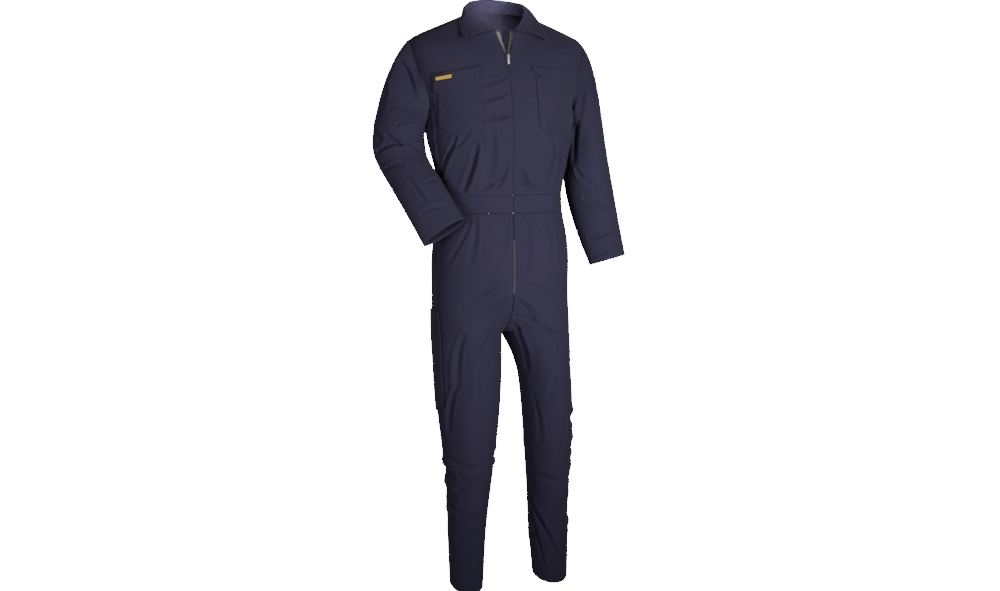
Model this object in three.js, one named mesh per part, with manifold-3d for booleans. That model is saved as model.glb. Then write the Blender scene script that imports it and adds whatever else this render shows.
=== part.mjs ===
// A boiler suit in its worn form with nobody in it, in millimetres.
// The front faces -Y, +X is the wearer's left, and the origin is between the shoulders at neck height.
import * as THREE from "three";
import { mergeVertices } from "three/addons/utils/BufferGeometryUtils.js";
import Module from "manifold-3d";

const solids = await Module();
solids.setup();

const { lerp, clamp, degToRad, smoothstep } = THREE.MathUtils;

// Cloth and seams
const CLOTH = 1.5;
const SEAM = 0.3;
const PARTING = 0.4; // each leg stands this far off the middle, besides the seam
const LAY = 0.7; // a patch stands this far off the panel that carries it

// Heights of the seams
const NECK_FRONT_Z = -57;
const SLIDER_Z = -116;
const V_FOOT_Z = -136;
const WAIST_TOP_Z = -480;
const WAIST_FOOT_Z = -528;
const FORK_Z = -731;
const CROTCH_Z = -856;
const ZIP_FOOT_Z = -742;

// The upper body: one row for each ring from the waist seam to the neck seam.
// side, front and back are the heights of the ring there; deep_front and deep_back its half depths.
const BODY_RINGS = [
  { ring: 0.0, side: -480, front: -480, back: -480, wide: 165, deep_front: 116, deep_back: 104 },
  { ring: 0.12, side: -436, front: -436, back: -436, wide: 172, deep_front: 118, deep_back: 108 },
  { ring: 0.25, side: -386, front: -386, back: -386, wide: 182, deep_front: 121, deep_back: 114 },
  { ring: 0.38, side: -332, front: -332, back: -332, wide: 193, deep_front: 123, deep_back: 120 },
  { ring: 0.5, side: -280, front: -280, back: -280, wide: 200, deep_front: 122, deep_back: 124 },
  { ring: 0.6, side: -228, front: -232, back: -226, wide: 208, deep_front: 118, deep_back: 124 },
  { ring: 0.7, side: -168, front: -182, back: -162, wide: 220, deep_front: 112, deep_back: 118 },
  { ring: 0.78, side: -118, front: -142, back: -108, wide: 232, deep_front: 105, deep_back: 108 },
  { ring: 0.85, side: -70, front: -112, back: -62, wide: 236, deep_front: 99, deep_back: 96 },
  { ring: 0.9, side: -46, front: -94, back: -36, wide: 190, deep_front: 95, deep_back: 86 },
  { ring: 0.95, side: -22, front: -76, back: -12, wide: 132, deep_front: 92, deep_back: 74 },
  { ring: 1.0, side: 0, front: -57, back: 8, wide: 80, deep_front: 90, deep_back: 60 },
];
// The armholes: from ring to ring, how many degrees they cut in, and how full and how low their curve is.
const ARMHOLE = {
  foot: 0.5,
  top: 0.86,
  front_turn: { right: 20, left: 30 },
  back_turn: 26,
  full: 0.6,
  low: 0.8,
  ease: 1.8,
  sideways: 0.6,
};
const ROUND_SHARE = 0.86; // cloth round a ring, as a share of its half width times the angle
const FOLD_FADE = 30; // folds fade out over this height next to a waist seam
const NECK_LEAN = -12; // the neck stands this far off the middle, fading to none at LEAN_FOOT_Z
const LEAN_FOOT_Z = -330;

// The hips and waistband: half sizes of the rings from the waist seam to the fork.
const HIP_RINGS = [
  { z: -856, wide: 190, deep_front: 120, deep_back: 130 },
  { z: -740, wide: 184, deep_front: 127, deep_back: 138 },
  { z: -690, wide: 185, deep_front: 129, deep_back: 142 },
  { z: -640, wide: 184, deep_front: 129, deep_back: 138 },
  { z: -590, wide: 177, deep_front: 124, deep_back: 125 },
  { z: -560, wide: 171, deep_front: 120, deep_back: 115 },
  { z: -528, wide: 167, deep_front: 117, deep_back: 106 },
  { z: -480, wide: 165, deep_front: 116, deep_back: 104 },
];

// Each leg: centre and half sizes of the section at each height.
const LEG_RIGHT = [
  { z: -1556, x: -102, y: -14, wide: 47, deep: 56 },
  { z: -1480, x: -101, y: -12, wide: 51, deep: 60 },
  { z: -1400, x: -99, y: -8, wide: 54, deep: 66 },
  { z: -1300, x: -94, y: -6, wide: 62, deep: 74 },
  { z: -1180, x: -93, y: -12, wide: 75, deep: 82 },
  { z: -1050, x: -95, y: -14, wide: 90, deep: 90 },
  { z: -925, x: -96, y: -12, wide: 95.5, deep: 99 },
  { z: -856, x: -97, y: -6, wide: 96.6, deep: 110 },
  { z: -731, x: -97, y: 0, wide: 96.6, deep: 124 },
];
const LEG_LEFT = [
  { z: -1546, x: 141, y: -14, wide: 50, deep: 58 },
  { z: -1470, x: 139, y: -12, wide: 54, deep: 64 },
  { z: -1400, x: 137, y: -8, wide: 56, deep: 70 },
  { z: -1300, x: 136, y: -6, wide: 58, deep: 76 },
  { z: -1180, x: 136, y: -12, wide: 68, deep: 86 },
  { z: -1050, x: 130, y: -14, wide: 71, deep: 98 },
  { z: -925, x: 116.5, y: -12, wide: 76.5, deep: 104 },
  { z: -856, x: 97, y: -6, wide: 96.6, deep: 112 },
  { z: -731, x: 97, y: 0, wide: 96.6, deep: 126 },
];
const HEM_DIP = 18; // the hems hang this much lower at the front
const HEM_REACH = 120; // and the cloth over them up to this height
const LEG_FOLD_FADE = 40;
const CROTCH_REACH = 0.5; // the crotch seam's curve reaches this far round the leg
const FOLD_SCALE = 300; // cloth from one inseam to the side seam, for the places of folds
const QUARTER = 240; // cloth from the centre front to the side seam at the hips
const V_HALF = 30; // half the opening at the neck
const V_OVER = 22; // the V would be that wide this far over the neck seam
const SLEEVE_GIRTH = 440;
const SLEEVE_ROUND = 24; // steps round a sleeve
const ELBOW_SEAM = 15; // the seam behind the elbow is this many of them from the underarm seam

// Each sleeve: centres down the arm, half sizes, and how far the wide axis is turned from across to forward.
const SLEEVE_RIGHT = [
  { part: 0, x: -246, y: 12, z: -170, wide: 64, deep: 80, turn: 0 },
  { part: 0.2, x: -264, y: 24, z: -240, wide: 66, deep: 78, turn: 0 },
  { part: 0.38, x: -272, y: 34, z: -310, wide: 70, deep: 74, turn: 0 },
  { part: 0.5, x: -274, y: 30, z: -358, wide: 73.5, deep: 70, turn: -8 },
  { part: 0.62, x: -264, y: 2, z: -404, wide: 64, deep: 60, turn: -20 },
  { part: 0.8, x: -230, y: -60, z: -486, wide: 63, deep: 46, turn: -30 },
  { part: 1, x: -192, y: -124, z: -576, wide: 65, deep: 25, turn: -36 },
];
const SLEEVE_LEFT = [
  { part: 0, x: 214, y: 6, z: -170, wide: 58, deep: 84, turn: 0 },
  { part: 0.2, x: 226, y: 10, z: -250, wide: 54, deep: 86, turn: 0 },
  { part: 0.38, x: 246, y: 10, z: -330, wide: 52, deep: 86, turn: 0 },
  { part: 0.6, x: 254, y: 4, z: -440, wide: 66, deep: 74, turn: 0 },
  { part: 0.8, x: 275, y: -12, z: -556, wide: 63, deep: 62, turn: 4 },
  { part: 1, x: 302, y: -34, z: -668, wide: 53, deep: 40, turn: 6 },
];
// The cap of a sleeve runs from the armhole to this part of the sleeve, over these steps. It leaves the
// armhole sideways and down, more sideways at the top, and its reach is how strongly it swells.
const CAP = {
  part: 0.42,
  steps: [0, 0.08, 0.2, 0.35, 0.52, 0.7, 0.86],
  armhole_x: 225,
  armhole_z: -170,
  side_low: 0.5,
  side_more: 0.4,
  down_low: 0.85,
  down_less: 0.25,
  reach_low: 0.2,
};
const CAP_REACH = { right: 212, left: 182 };
const FOREARM_STEPS = 9;

// The largest folds: soft troughs between two places. s runs along the cloth, from the centre front on the
// body, from the middle of the front on a leg and from the top of the arm on a sleeve; z is the height,
// and on a sleeve the way down it. A depth under 0 is a ridge.
const BODY_FOLDS = [
  { from_s: -133, from_z: -470, to_s: -107, to_z: -350, width: 17, depth: 8 },
  { from_s: -100, from_z: -390, to_s: -74, to_z: -310, width: 14, depth: 5 },
  { from_s: -12, from_z: -470, to_s: -62, to_z: -430, width: 11, depth: 5 },
  { from_s: -60, from_z: -462, to_s: -40, to_z: -380, width: 13, depth: 5 },
  { from_s: 30, from_z: -468, to_s: 12, to_z: -400, width: 10, depth: 5 },
  { from_s: 70, from_z: -470, to_s: 140, to_z: -360, width: 18, depth: 8 },
  { from_s: 196, from_z: -240, to_s: 186, to_z: -370, width: 18, depth: 9 },
  { from_s: -230, from_z: -240, to_s: -222, to_z: -370, width: 18, depth: 9 },
  { from_s: 330, from_z: -455, to_s: 400, to_z: -330, width: 22, depth: 9 },
  { from_s: 470, from_z: -460, to_s: 410, to_z: -360, width: 22, depth: 8 },
  { from_s: 250, from_z: -270, to_s: 330, to_z: -400, width: 20, depth: 7 },
  { from_s: 560, from_z: -270, to_s: 480, to_z: -400, width: 20, depth: 7 },
  { from_s: -268, from_z: -296, to_s: -246, to_z: -386, width: 34, depth: -11 },
  { from_s: 804, from_z: -296, to_s: 738, to_z: -386, width: 34, depth: -11 },
];
const LEG_RIGHT_FOLDS = [
  { from_s: 42, from_z: -880, to_s: 97, to_z: -1124, width: 24, depth: 11 },
  { from_s: -60, from_z: -860, to_s: -20, to_z: -960, width: 18, depth: 6 },
  { from_s: 120, from_z: -620, to_s: 40, to_z: -760, width: 24, depth: 4 },
  { from_s: -60, from_z: -1270, to_s: 50, to_z: -1240, width: 16, depth: 6 },
  { from_s: 60, from_z: -1330, to_s: -40, to_z: -1390, width: 18, depth: 7 },
  { from_s: -50, from_z: -1450, to_s: 60, to_z: -1480, width: 15, depth: 6 },
  { from_s: 260, from_z: -780, to_s: 330, to_z: -900, width: 24, depth: 9 },
  { from_s: 300, from_z: -1160, to_s: 380, to_z: -1220, width: 20, depth: 7 },
];
const LEG_LEFT_FOLDS = [
  { from_s: -126, from_z: -565, to_s: -104, to_z: -630, width: 17, depth: 8 },
  { from_s: -104, from_z: -640, to_s: -122, to_z: -770, width: 17, depth: 8 },
  { from_s: -134, from_z: -812, to_s: -84, to_z: -960, width: 20, depth: 10 },
  { from_s: 40, from_z: -900, to_s: -30, to_z: -840, width: 18, depth: 5 },
  { from_s: -130, from_z: -1292, to_s: 10, to_z: -1456, width: 18, depth: 8 },
  { from_s: -110, from_z: -1200, to_s: 30, to_z: -1230, width: 18, depth: 6 },
  { from_s: 100, from_z: -1130, to_s: 150, to_z: -1200, width: 18, depth: 7 },
  { from_s: 260, from_z: -780, to_s: 330, to_z: -900, width: 24, depth: 9 },
  { from_s: 300, from_z: -1160, to_s: 380, to_z: -1220, width: 20, depth: 7 },
];
const SLEEVE_RIGHT_FOLDS = [
  { from_s: -190, from_z: 130, to_s: -70, to_z: 160, width: 13, depth: 8 },
  { from_s: -200, from_z: 185, to_s: -50, to_z: 205, width: 14, depth: 10 },
  { from_s: -190, from_z: 245, to_s: -40, to_z: 240, width: 14, depth: 11 },
  { from_s: -160, from_z: 310, to_s: -40, to_z: 285, width: 14, depth: 7 },
];
const SLEEVE_LEFT_FOLDS = [
  { from_s: -110, from_z: 60, to_s: -70, to_z: 230, width: 18, depth: 7 },
  { from_s: -190, from_z: 330, to_s: -60, to_z: 290, width: 16, depth: 6 },
  { from_s: -160, from_z: 440, to_s: -60, to_z: 400, width: 14, depth: 6 },
];

// Chest pockets and flaps: places across the front from its centre, and heights. The right ones hang
// further out and tilt more. depths are how deep a flap is at a share of its way from the inner end.
const POCKET = { corner: 20, across: 10, rise: 6, wall: 1.2, lift: LAY };
const POCKETS = {
  right: { inner: 78, outer: 174, top: -172, foot: -320 },
  left: { inner: 68, outer: 168, top: -168, foot: -318 },
};
const FLAP = { across: 12, rise: 3, wall: 1.4, lift: LAY + POCKET.wall + LAY };
const FLAPS = {
  right: {
    inner: 70,
    outer: 183,
    top: -142,
    top_slope: 0.2,
    depths: [
      { share: 0, depth: 9 },
      { share: 0.16, depth: 42 },
      { share: 0.32, depth: 53 },
      { share: 0.6, depth: 58 },
      { share: 0.82, depth: 60 },
      { share: 1, depth: 46 },
    ],
  },
  left: {
    inner: 60,
    outer: 178,
    top: -142,
    top_slope: 0.1,
    depths: [
      { share: 0, depth: 9 },
      { share: 0.3, depth: 33 },
      { share: 0.6, depth: 52 },
      { share: 1, depth: 62 },
    ],
  },
};
// The label lies on the right flap, so many millimetres below its top edge.
const LABEL = { inner: 141, outer: 178, below: 6, tall: 14, across: 4, rise: 1, wall: 0.8 };
// The slanted hip pocket opening, and how far its bearer runs on under the front panel
const HIP_OPENING = { top: -530, foot: -708, set_in: 62, bearer: 26, gape: 45, clear: 3.4, rim: 0.04 };
const TOOL_POCKET = { top: -790, foot: -1066, ahead: 46, behind: 52, wall: 1.2, lay: 1.2 };

// Half the collar: a row for each step from the front end (0) to the centre back (1).
// rise is the height of the roll line over the neck seam, and edge_x, edge_y, edge_z are the place of the
// fall's edge.
const COLLAR = [
  { part: 0, rise: 7, edge_x: 118, edge_y: -91, edge_z: -74 },
  { part: 0.14, rise: 13, edge_x: 118, edge_y: -52, edge_z: -38 },
  { part: 0.34, rise: 26, edge_x: 99, edge_y: -12, edge_z: -1 },
  { part: 0.6, rise: 33, edge_x: 80, edge_y: 50, edge_z: -4 },
  { part: 0.8, rise: 35, edge_x: 50, edge_y: 80, edge_z: -18 },
  { part: 1, rise: 36, edge_x: 0, edge_y: 90, edge_z: -22 },
];
const ROLL = 2.8; // half the width of the collar's fold
const COLLAR_CLEAR = 0.6;
const BULGE = { out: 5, up: 7 }; // how far the fall stands off the straight way to its edge
const COLLAR_TILT = -0.3; // the stand tilts in by this share of its rise

// The zip
const TAPE = { shown: 13, under: 12, wall: 0.9, behind: 0.9 };
const CHAIN = { half: 3, wall: 2, behind: 2.2, behind_band: 0.5, ease: 20 };
const SLIDER = { half: 4.6, tall: 13, deep: 4, back_y: -101.9 };
const BAIL = { z: -113, out: 2.9, bar: 0.7, cheek: 1.6, inner: 2.1, outer: 2.9, joined: 0.5, sunk: 0.1 };
const TAB = { half: 3, neck: 1.6, eye: 1.9, hole: 1.15, foot: -137, shoulder: 4, wall: 1.3 };

const NAVY = 0x22222e;
const YELLOW = 0xd8b13a;
const BRASS = 0x6d5c3c;
const STEEL = 0xb9bcc2;
const TAPE_GREY = 0x8d8f98;

// The rows of a table on either side of a value, joined by a smooth curve through all rows.
function between(table, key, value) {
  const last = table.length - 1;
  const v = clamp(value, table[0][key], table[last][key]);
  let i = 0;
  while (i < last - 1 && table[i + 1][key] < v) i++;
  const [a, b] = [table[i], table[i + 1]];
  const span = b[key] - a[key];
  const t = (v - a[key]) / span;
  const slope = (name, n) => {
    const [p, q] = [table[Math.max(n - 1, 0)], table[Math.min(n + 1, last)]];
    return (q[name] - p[name]) / (q[key] - p[key]);
  };
  const made = {};
  for (const name of Object.keys(a)) {
    made[name] =
      (2 * t ** 3 - 3 * t ** 2 + 1) * a[name] +
      (t ** 3 - 2 * t ** 2 + t) * span * slope(name, i) +
      (3 * t ** 2 - 2 * t ** 3) * b[name] +
      (t ** 3 - t ** 2) * span * slope(name, i + 1);
  }
  return made;
}

// How far the cloth sinks at a place, summed over the folds of a table.
function sink(folds, s, z) {
  let depth = 0;
  for (const f of folds) {
    const [ds, dz] = [f.to_s - f.from_s, f.to_z - f.from_z];
    const along = ((s - f.from_s) * ds + (z - f.from_z) * dz) / (ds * ds + dz * dz);
    const near = clamp(along, 0, 1);
    const away = Math.hypot(s - f.from_s - near * ds, z - f.from_z - near * dz);
    depth += f.depth * Math.exp(-((away / f.width) ** 2)) * (1 - 0.5 * near);
  }
  return depth;
}

// Steps from one value to another, both ends included.
const steps = (from, to, count) =>
  Array.from({ length: count + 1 }, (_, i) => lerp(from, to, i / count));

// The way out of a surface at a place, from its own slopes over a step of e.
function outward(at, u, v, e) {
  const along = at(u + e, v).sub(at(u - e, v));
  const up = at(u, v + e).sub(at(u, v - e));
  return along.cross(up).normalize();
}

// Moves the two ends of each row in along the row by half a seam.
function trimRows(rows, trim) {
  for (const row of rows) {
    const n = row.length - 1;
    const first = row[1].clone().sub(row[0]).setLength(trim);
    const last = row[n - 1].clone().sub(row[n]).setLength(trim);
    row[0].add(first);
    row[n].add(last);
  }
}

// Moves the first and last rows in along the columns by half a seam.
function trimColumns(rows, trim) {
  const n = rows.length - 1;
  rows[0].forEach((p, i) => p.add(rows[1][i].clone().sub(p).setLength(trim)));
  rows[n].forEach((p, i) => p.add(rows[n - 1][i].clone().sub(p).setLength(trim)));
}

// A closed wall between an outer and an inner grid of points, with rims all round.
function wallOf(outer, inner) {
  const [rows, cols] = [outer.length, outer[0].length];
  const positions = [...outer.flat(), ...inner.flat()].flatMap((p) => [p.x, p.y, p.z]);
  const out = (j, i) => j * cols + i;
  const inn = (j, i) => rows * cols + out(j, i);
  const index = [];
  const quad = (a, b, c, d) => index.push(a, b, c, a, c, d);
  const across = cols - 1;
  for (let j = 0; j < rows - 1; j++) {
    for (let i = 0; i < across; i++) {
      quad(out(j, i), out(j, i + 1), out(j + 1, i + 1), out(j + 1, i));
      quad(inn(j, i), inn(j + 1, i), inn(j + 1, i + 1), inn(j, i + 1));
    }
  }
  const top = rows - 1;
  for (let i = 0; i < across; i++) {
    quad(out(0, i), inn(0, i), inn(0, i + 1), out(0, i + 1));
    quad(out(top, i), out(top, i + 1), inn(top, i + 1), inn(top, i));
  }
  for (let j = 0; j < top; j++) {
    quad(out(j, 0), out(j + 1, 0), inn(j + 1, 0), inn(j, 0));
    quad(out(j, across), inn(j, across), inn(j + 1, across), out(j + 1, across));
  }
  const geometry = new THREE.BufferGeometry();
  geometry.setAttribute("position", new THREE.Float32BufferAttribute(positions, 3));
  geometry.setIndex(index);
  return geometry;
}

// A sheet cut from a surface at(u, v): ups lists v, and for each v the sheet runs between two values of u.
// lift moves it off the surface, and trim leaves the seams open.
function sheet({ at, ups, from, to, across, wall = CLOTH, lift = 0, trim = SEAM / 2, step = 0.002 }) {
  const outer = [];
  const inner = [];
  for (const v of ups) {
    const outerRow = [];
    const innerRow = [];
    for (const u of steps(from(v), to(v), across)) {
      const p = at(u, v);
      const n = outward(at, u, v, step);
      const off = typeof lift === "number" ? lift : lift(u, v);
      outerRow.push(p.clone().addScaledVector(n, off));
      innerRow.push(p.clone().addScaledVector(n, off - wall));
    }
    outer.push(outerRow);
    inner.push(innerRow);
  }
  for (const grid of [outer, inner]) {
    if (trim > 0) {
      trimRows(grid, trim);
      trimColumns(grid, trim);
    }
  }
  return wallOf(outer, inner);
}

const suit = new THREE.Group();
suit.name = "boiler_suit";

function add(name, geometry, color = NAVY, metalness = 0) {
  const roughness = metalness ? 0.35 : 0.9;
  const material = new THREE.MeshStandardMaterial({ color, roughness, metalness });
  const mesh = new THREE.Mesh(geometry, material);
  mesh.name = name;
  suit.add(mesh);
}

// A ring is this much squarer than an ellipse at an angle.
const squareAt = (sine, cosine) => 1 + 0.08 * Math.abs(2 * sine * cosine);

// The upper body at an angle from the centre front (degrees, + to the wearer's left) and a ring.
function body(angle, ring) {
  const r = between(BODY_RINGS, "ring", ring);
  const a = degToRad(angle);
  const [s, c] = [Math.sin(a), Math.cos(a)];
  const end = c > 0 ? r.front : r.back;
  const deep = c > 0 ? r.deep_front : r.deep_back;
  const z = lerp(end, r.side, s * s);
  const low = 1 - smoothstep(ring, 0.75, 0.95);
  const square = lerp(1, squareAt(s, c), low);
  const fade = low * smoothstep(z - WAIST_TOP_Z, 0, FOLD_FADE);
  const grow = square * (1 - (fade * sink(BODY_FOLDS, r.wide * a * ROUND_SHARE, z)) / r.wide);
  return new THREE.Vector3(s * r.wide * grow + lean(z), -c * deep * grow, z);
}

const BODY_UPS = [
  ...steps(0, 0.5, 8),
  0.512, 0.54, 0.58, 0.63, 0.68, 0.73, 0.775, 0.815, 0.845, 0.86,
  0.89, 0.92, 0.95, 0.975, 1,
];

const TAPE_UPS = BODY_UPS.filter((ring) => ring > 0.84);

// How far the armhole cuts in from the side seam at a ring, in degrees.
function armholeCut(ring, turn) {
  const t = clamp((ring - ARMHOLE.foot) / (ARMHOLE.top - ARMHOLE.foot), 0, 1);
  return turn * Math.sin(Math.PI * t ** ARMHOLE.low) ** ARMHOLE.full;
}
const frontEdge = (side, ring) =>
  90 - armholeCut(ring, side > 0 ? ARMHOLE.front_turn.left : ARMHOLE.front_turn.right);
const backEdge = (ring) => 90 + armholeCut(ring, ARMHOLE.back_turn);

// How far the middle of the upper body leans to the wearer's right at a height.
const lean = (z) => NECK_LEAN * smoothstep(z, LEAN_FOOT_Z, NECK_FRONT_Z);

// The front edge, in degrees: at the centre up to the foot of the V, then open to the neck.
function openHalf(ring) {
  return V_HALF * smoothstep(between(BODY_RINGS, "ring", ring).front, V_FOOT_Z, NECK_FRONT_Z + V_OVER);
}
function openEdge(ring) {
  return (Math.asin(openHalf(ring) / between(BODY_RINGS, "ring", ring).wide) * 180) / Math.PI;
}

function addUpperBody() {
  const cut = { at: body, ups: BODY_UPS, across: 10 };
  add("front_left", sheet({ ...cut, from: openEdge, to: (v) => frontEdge(1, v) }));
  add("front_right", sheet({ ...cut, from: (v) => -frontEdge(-1, v), to: (v) => -openEdge(v) }));
  add("back", sheet({ ...cut, from: backEdge, to: (v) => 360 - backEdge(v), across: 18 }));
}

// The place on the front that is x across and z high.
function onFront(x, z) {
  let [low, high] = [0, 1];
  const place = () => {
    const ring = (low + high) / 2;
    const r = between(BODY_RINGS, "ring", ring);
    const sine = clamp(x / r.wide, -0.98, 0.98);
    return [(Math.asin(sine) * 180) / Math.PI, ring];
  };
  for (let i = 0; i < 40; i++) {
    const [angle, ring] = place();
    if (body(angle, ring).z < z) low = ring;
    else high = ring;
  }
  return body(...place());
}

// The hips and waistband at an angle from the centre front and a height.
function hips(angle, z) {
  const r = between(HIP_RINGS, "z", z);
  const a = degToRad(angle);
  const [s, c] = [Math.sin(a), Math.cos(a)];
  const square = squareAt(s, c);
  const deep = c > 0 ? r.deep_front : r.deep_back;
  return new THREE.Vector3(s * r.wide * square, -c * deep * square, z);
}

// A trouser leg: u runs from the centre front or inseam (0) over the front to the side seam (side)
// and over the back to the centre back or inseam (2 * side). side is 1 for the wearer's left and -1 for
// the right.
function legSurface(side, table, folds) {
  return (u, z) => {
    const t = side * u;
    const hip = hips(u * 90, z);
    const r = between(table, "z", z);
    const turn = Math.PI * t;
    const sunk = sink(folds, FOLD_SCALE * (t - 0.5), z) * smoothstep(WAIST_FOOT_Z - z, 0, LEG_FOLD_FADE);
    const [wide, deep] = [r.wide - sunk, r.deep - sunk];
    const leg = new THREE.Vector3(r.x - side * wide * Math.cos(turn), r.y - deep * Math.sin(turn), z);
    const down = clamp((FORK_Z - z) / (FORK_Z - CROTCH_Z), 0, 1);
    // The crotch seam curves under in a U, and the outer thigh passes smoothly from hip to leg.
    const seamward = 1 - smoothstep(Math.min(t, 2 - t), 0, CROTCH_REACH);
    const mixed = lerp(smoothstep(down, 0, 1), 1 - Math.sqrt(1 - down * down), seamward);
    const ends = smoothstep(Math.min(t, 2 - t), 0, CROTCH_REACH / 2);
    const widest = HIP_RINGS[0];
    const squeeze = sunk * ends;
    hip.multiply(new THREE.Vector3(1 - squeeze / widest.wide, 1 - squeeze / widest.deep_front, 1));
    const place = hip.lerp(leg, mixed);
    const hem = 1 - smoothstep(z, table[0].z, table[0].z + HEM_REACH);
    place.x += side * PARTING;
    place.z -= hem * HEM_DIP * Math.sin(turn);
    return place;
  };
}

const legs = {
  right: { side: -1, table: LEG_RIGHT, at: legSurface(-1, LEG_RIGHT, LEG_RIGHT_FOLDS) },
  left: { side: 1, table: LEG_LEFT, at: legSurface(1, LEG_LEFT, LEG_LEFT_FOLDS) },
};

// How far round the front panel reaches at a height: to the side seam, or to the slanted pocket opening.
function frontReach(z) {
  const { top, foot, set_in } = HIP_OPENING;
  return 1 - (set_in * clamp((z - foot) / (top - foot), 0, 1)) / QUARTER;
}

// The pocket bearer lies under the front panel and comes up to the side seam.
function bearerLift(t, z) {
  const reach = frontReach(z);
  const open = clamp(((1 - reach) * QUARTER) / HIP_OPENING.gape, 0, 1);
  return -(CLOTH + HIP_OPENING.clear) * (1 - open * smoothstep(t, reach + HIP_OPENING.rim, 1));
}

// The heights of the rows of the trouser panels above LEG_TOP_Z: over the crotch, then up to the waistband
const LEG_TOP_Z = -891;
const FORK_UPS = [-11, 0, 3, 11, 27, 51, 79, 112];
const HIP_UPS = [-712, -670, -630, -590, -558, WAIST_FOOT_Z];

function addTrousers() {
  for (const [name, { table, at, side }] of Object.entries(legs)) {
    const foot = table[0].z;
    const ups = [...steps(foot, LEG_TOP_Z, 11), ...FORK_UPS.map((up) => CROTCH_Z + up), ...HIP_UPS];
    // A stretch between two places given from the centre front, in order on either side.
    const turned = (from, to) =>
      side > 0 ? { from, to } : { from: (z) => -to(z), to: (z) => -from(z) };
    const cut = { at, ups, across: 9 };
    add("trouser_front_" + name, sheet({ ...cut, ...turned(() => 0, frontReach) }));
    add("trouser_back_" + name, sheet({ ...cut, ...turned(() => 1, () => 2) }));
    add("hip_pocket_" + name, sheet({
      at,
      ups: steps(HIP_OPENING.foot, WAIST_FOOT_Z, 8),
      across: 4,
      lift: (u, z) => bearerLift(side * u, z),
      ...turned((z) => frontReach(z) - HIP_OPENING.bearer / QUARTER, () => 1),
    }));
  }
}

function addWaistband() {
  const band = { at: hips, ups: steps(WAIST_FOOT_Z, WAIST_TOP_Z, 3), across: 10 };
  add("waistband_left", sheet({ ...band, from: () => 0, to: () => 90 }));
  add("waistband_right", sheet({ ...band, from: () => -90, to: () => 0 }));
  add("waistband_back", sheet({ ...band, from: () => 90, to: () => 270, across: 18 }));
}

// The seam line of an armhole, evenly divided, from the underarm over the front and the shoulder to the back.
function armholeLine(side, count) {
  const front = steps(ARMHOLE.foot, ARMHOLE.top, 60).map((v) => body(side * frontEdge(side, v), v));
  const back = steps(ARMHOLE.top, ARMHOLE.foot, 60).map((v) => body(side * backEdge(v), v));
  const line = new THREE.CatmullRomCurve3([...front, ...back.slice(1, -1)], true);
  line.arcLengthDivisions = 600;
  return steps(0, 1, count).map((s) => line.getPointAt(s));
}

// A point of the tube of a sleeve: s runs once round from the underarm over the front.
function sleeveTube(side, table, s, part) {
  const place = (p) => {
    const r = between(table, "part", p);
    return new THREE.Vector3(r.x, r.y, r.z);
  };
  const r = between(table, "part", part);
  const axis = place(Math.min(part + 0.02, 1)).sub(place(Math.max(part - 0.02, 0))).normalize();
  const out = new THREE.Vector3(side, 0, 0).addScaledVector(axis, -side * axis.x).normalize();
  const back = new THREE.Vector3().crossVectors(out, axis).multiplyScalar(side).normalize();
  const turn = degToRad(r.turn);
  const wide = out.clone().multiplyScalar(Math.cos(turn)).addScaledVector(back, -Math.sin(turn));
  const deep = back.clone().multiplyScalar(Math.cos(turn)).addScaledVector(out, Math.sin(turn));
  const a = 2 * Math.PI * s;
  const across = wide.multiplyScalar(-r.wide * Math.cos(a));
  const along = deep.multiplyScalar(-r.deep * Math.sin(a));
  return place(part).add(across).add(along);
}

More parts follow.
